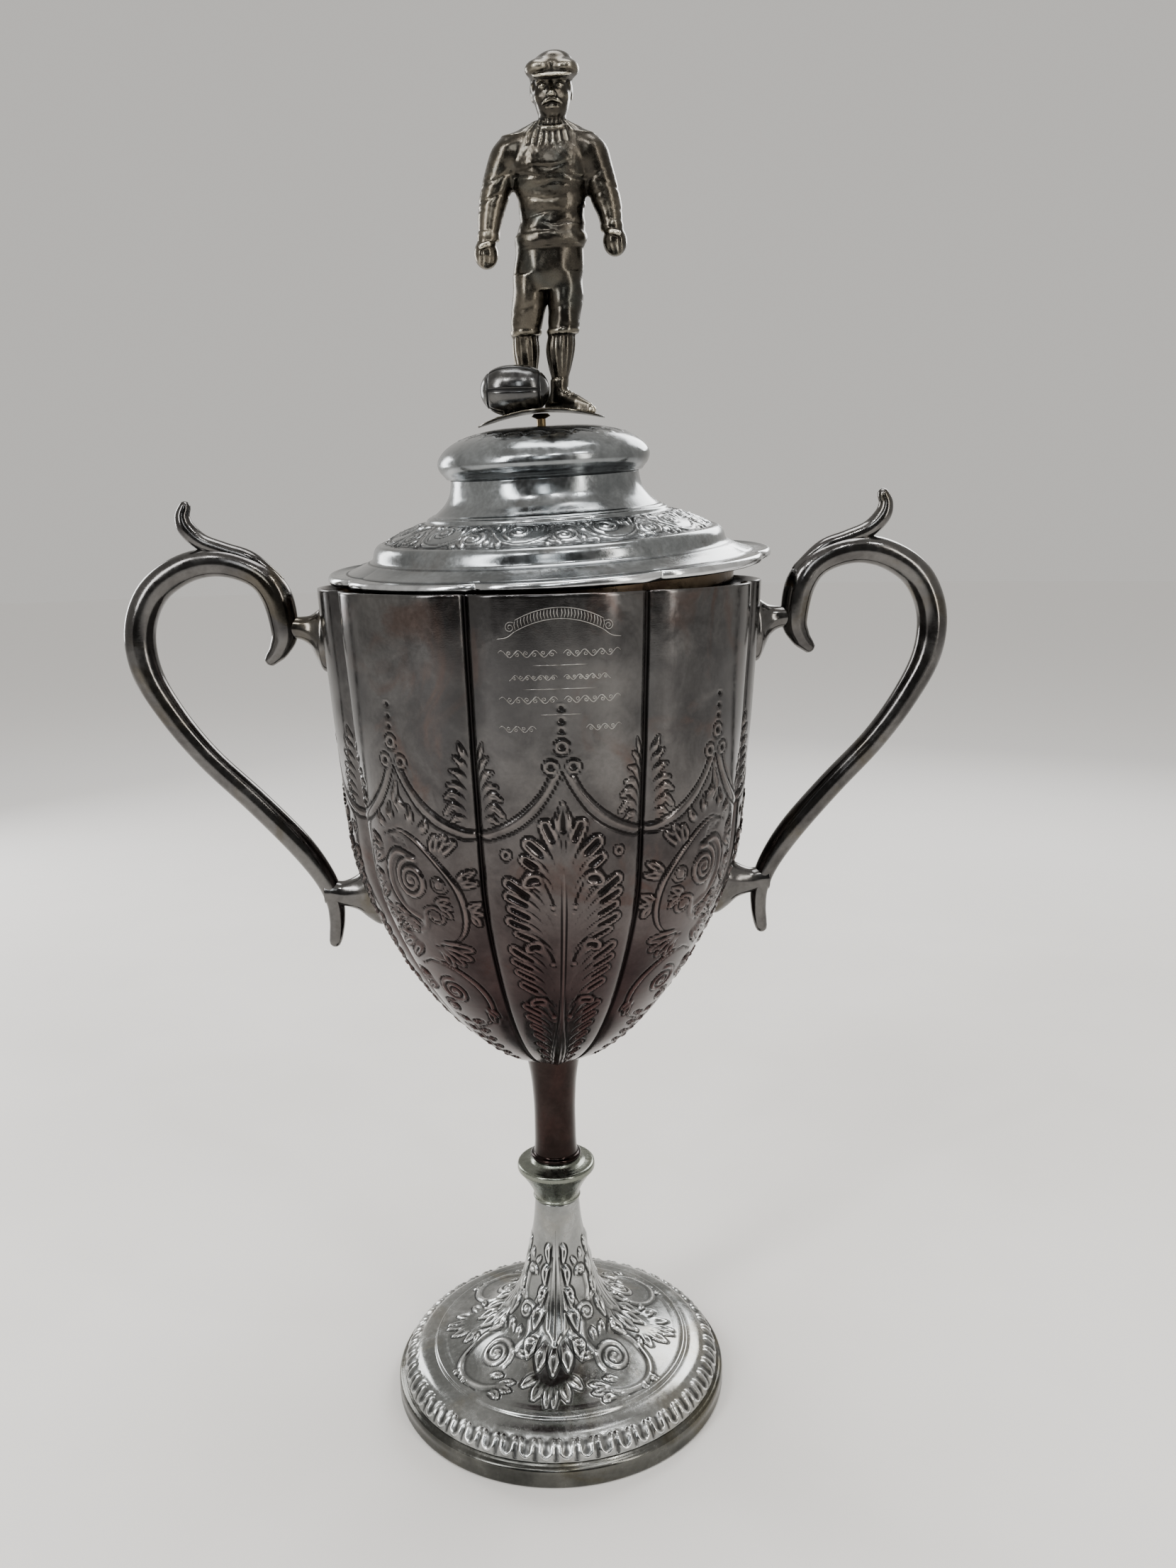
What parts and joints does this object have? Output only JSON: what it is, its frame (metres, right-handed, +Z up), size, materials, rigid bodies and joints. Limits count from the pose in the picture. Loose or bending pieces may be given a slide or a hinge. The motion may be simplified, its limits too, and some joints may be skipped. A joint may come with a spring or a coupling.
{
  "type": "lidded two-handled cup trophy",
  "caption": "Tall lobed challenge cup on a stemmed round foot, with scroll handles, a scalloped lift-off lid and a standing sportsman finial beside an oval ball.",
  "frame": {"origin": "centre of the foot's underside, on the bowl's axis, at table height", "axes": "+Z up along the stem; the handles lie along X, one each way; -Y is the front, the side the sportsman faces"},
  "size_m": [0.282, 0.1539, 0.4685],
  "materials": {
    "dark_silver": "old silver plate, dark brown-grey tarnish, still glossy",
    "foot_silver": "old silver plate, blue-grey tarnish",
    "lid_silver": "old silver plate, blue-grey tarnish, polished high spots",
    "knop_silver": "greenish tarnished plate",
    "handle_silver": "cast, nearly black tarnish, glossy",
    "bezel_brass": "brown base metal, dull",
    "fixing_brass": "plain turned",
    "figure_bronze": "dark cast metal with brassy worn high spots",
    "ball_bronze": "dark cast metal, glossy"
  },
  "bodies": {
    "cup": {"foot_band": "foot_silver", "foot_shell": "foot_silver", "stem_knop": "knop_silver", "stem_tube": "dark_silver", "bowl": "dark_silver", "handle_left": "handle_silver", "handle_right": "handle_silver", "upper_bracket_left": "handle_silver", "upper_bracket_right": "handle_silver", "lower_bracket_left": "handle_silver", "lower_bracket_right": "handle_silver", "tie_rod": "fixing_brass", "rod_washer": "fixing_brass", "rod_plate": "fixing_brass", "rod_nut": "fixing_brass"},
    "lid": {"lid_shell": "lid_silver", "lid_knob": "lid_silver", "lid_bezel": "bezel_brass"},
    "finial": {"finial_plate": "figure_bronze", "finial_stud": "fixing_brass", "finial_washer": "fixing_brass", "finial_nut": "fixing_brass", "game_ball": "ball_bronze", "sportsman": "figure_bronze"}
  },
  "joints": [
    {"name": "lid_lift", "type": "slide", "parent": "cup", "child": "lid", "axis": [0, 0, 1], "range_m": [0, 0.12]},
    {"name": "finial_turn", "type": "hinge", "parent": "lid", "child": "finial", "pos_m": [0.00168, 0.0014, 0.35608], "axis": [-0.0425, -0.0575, 0.9974], "continuous": true}
  ]
}
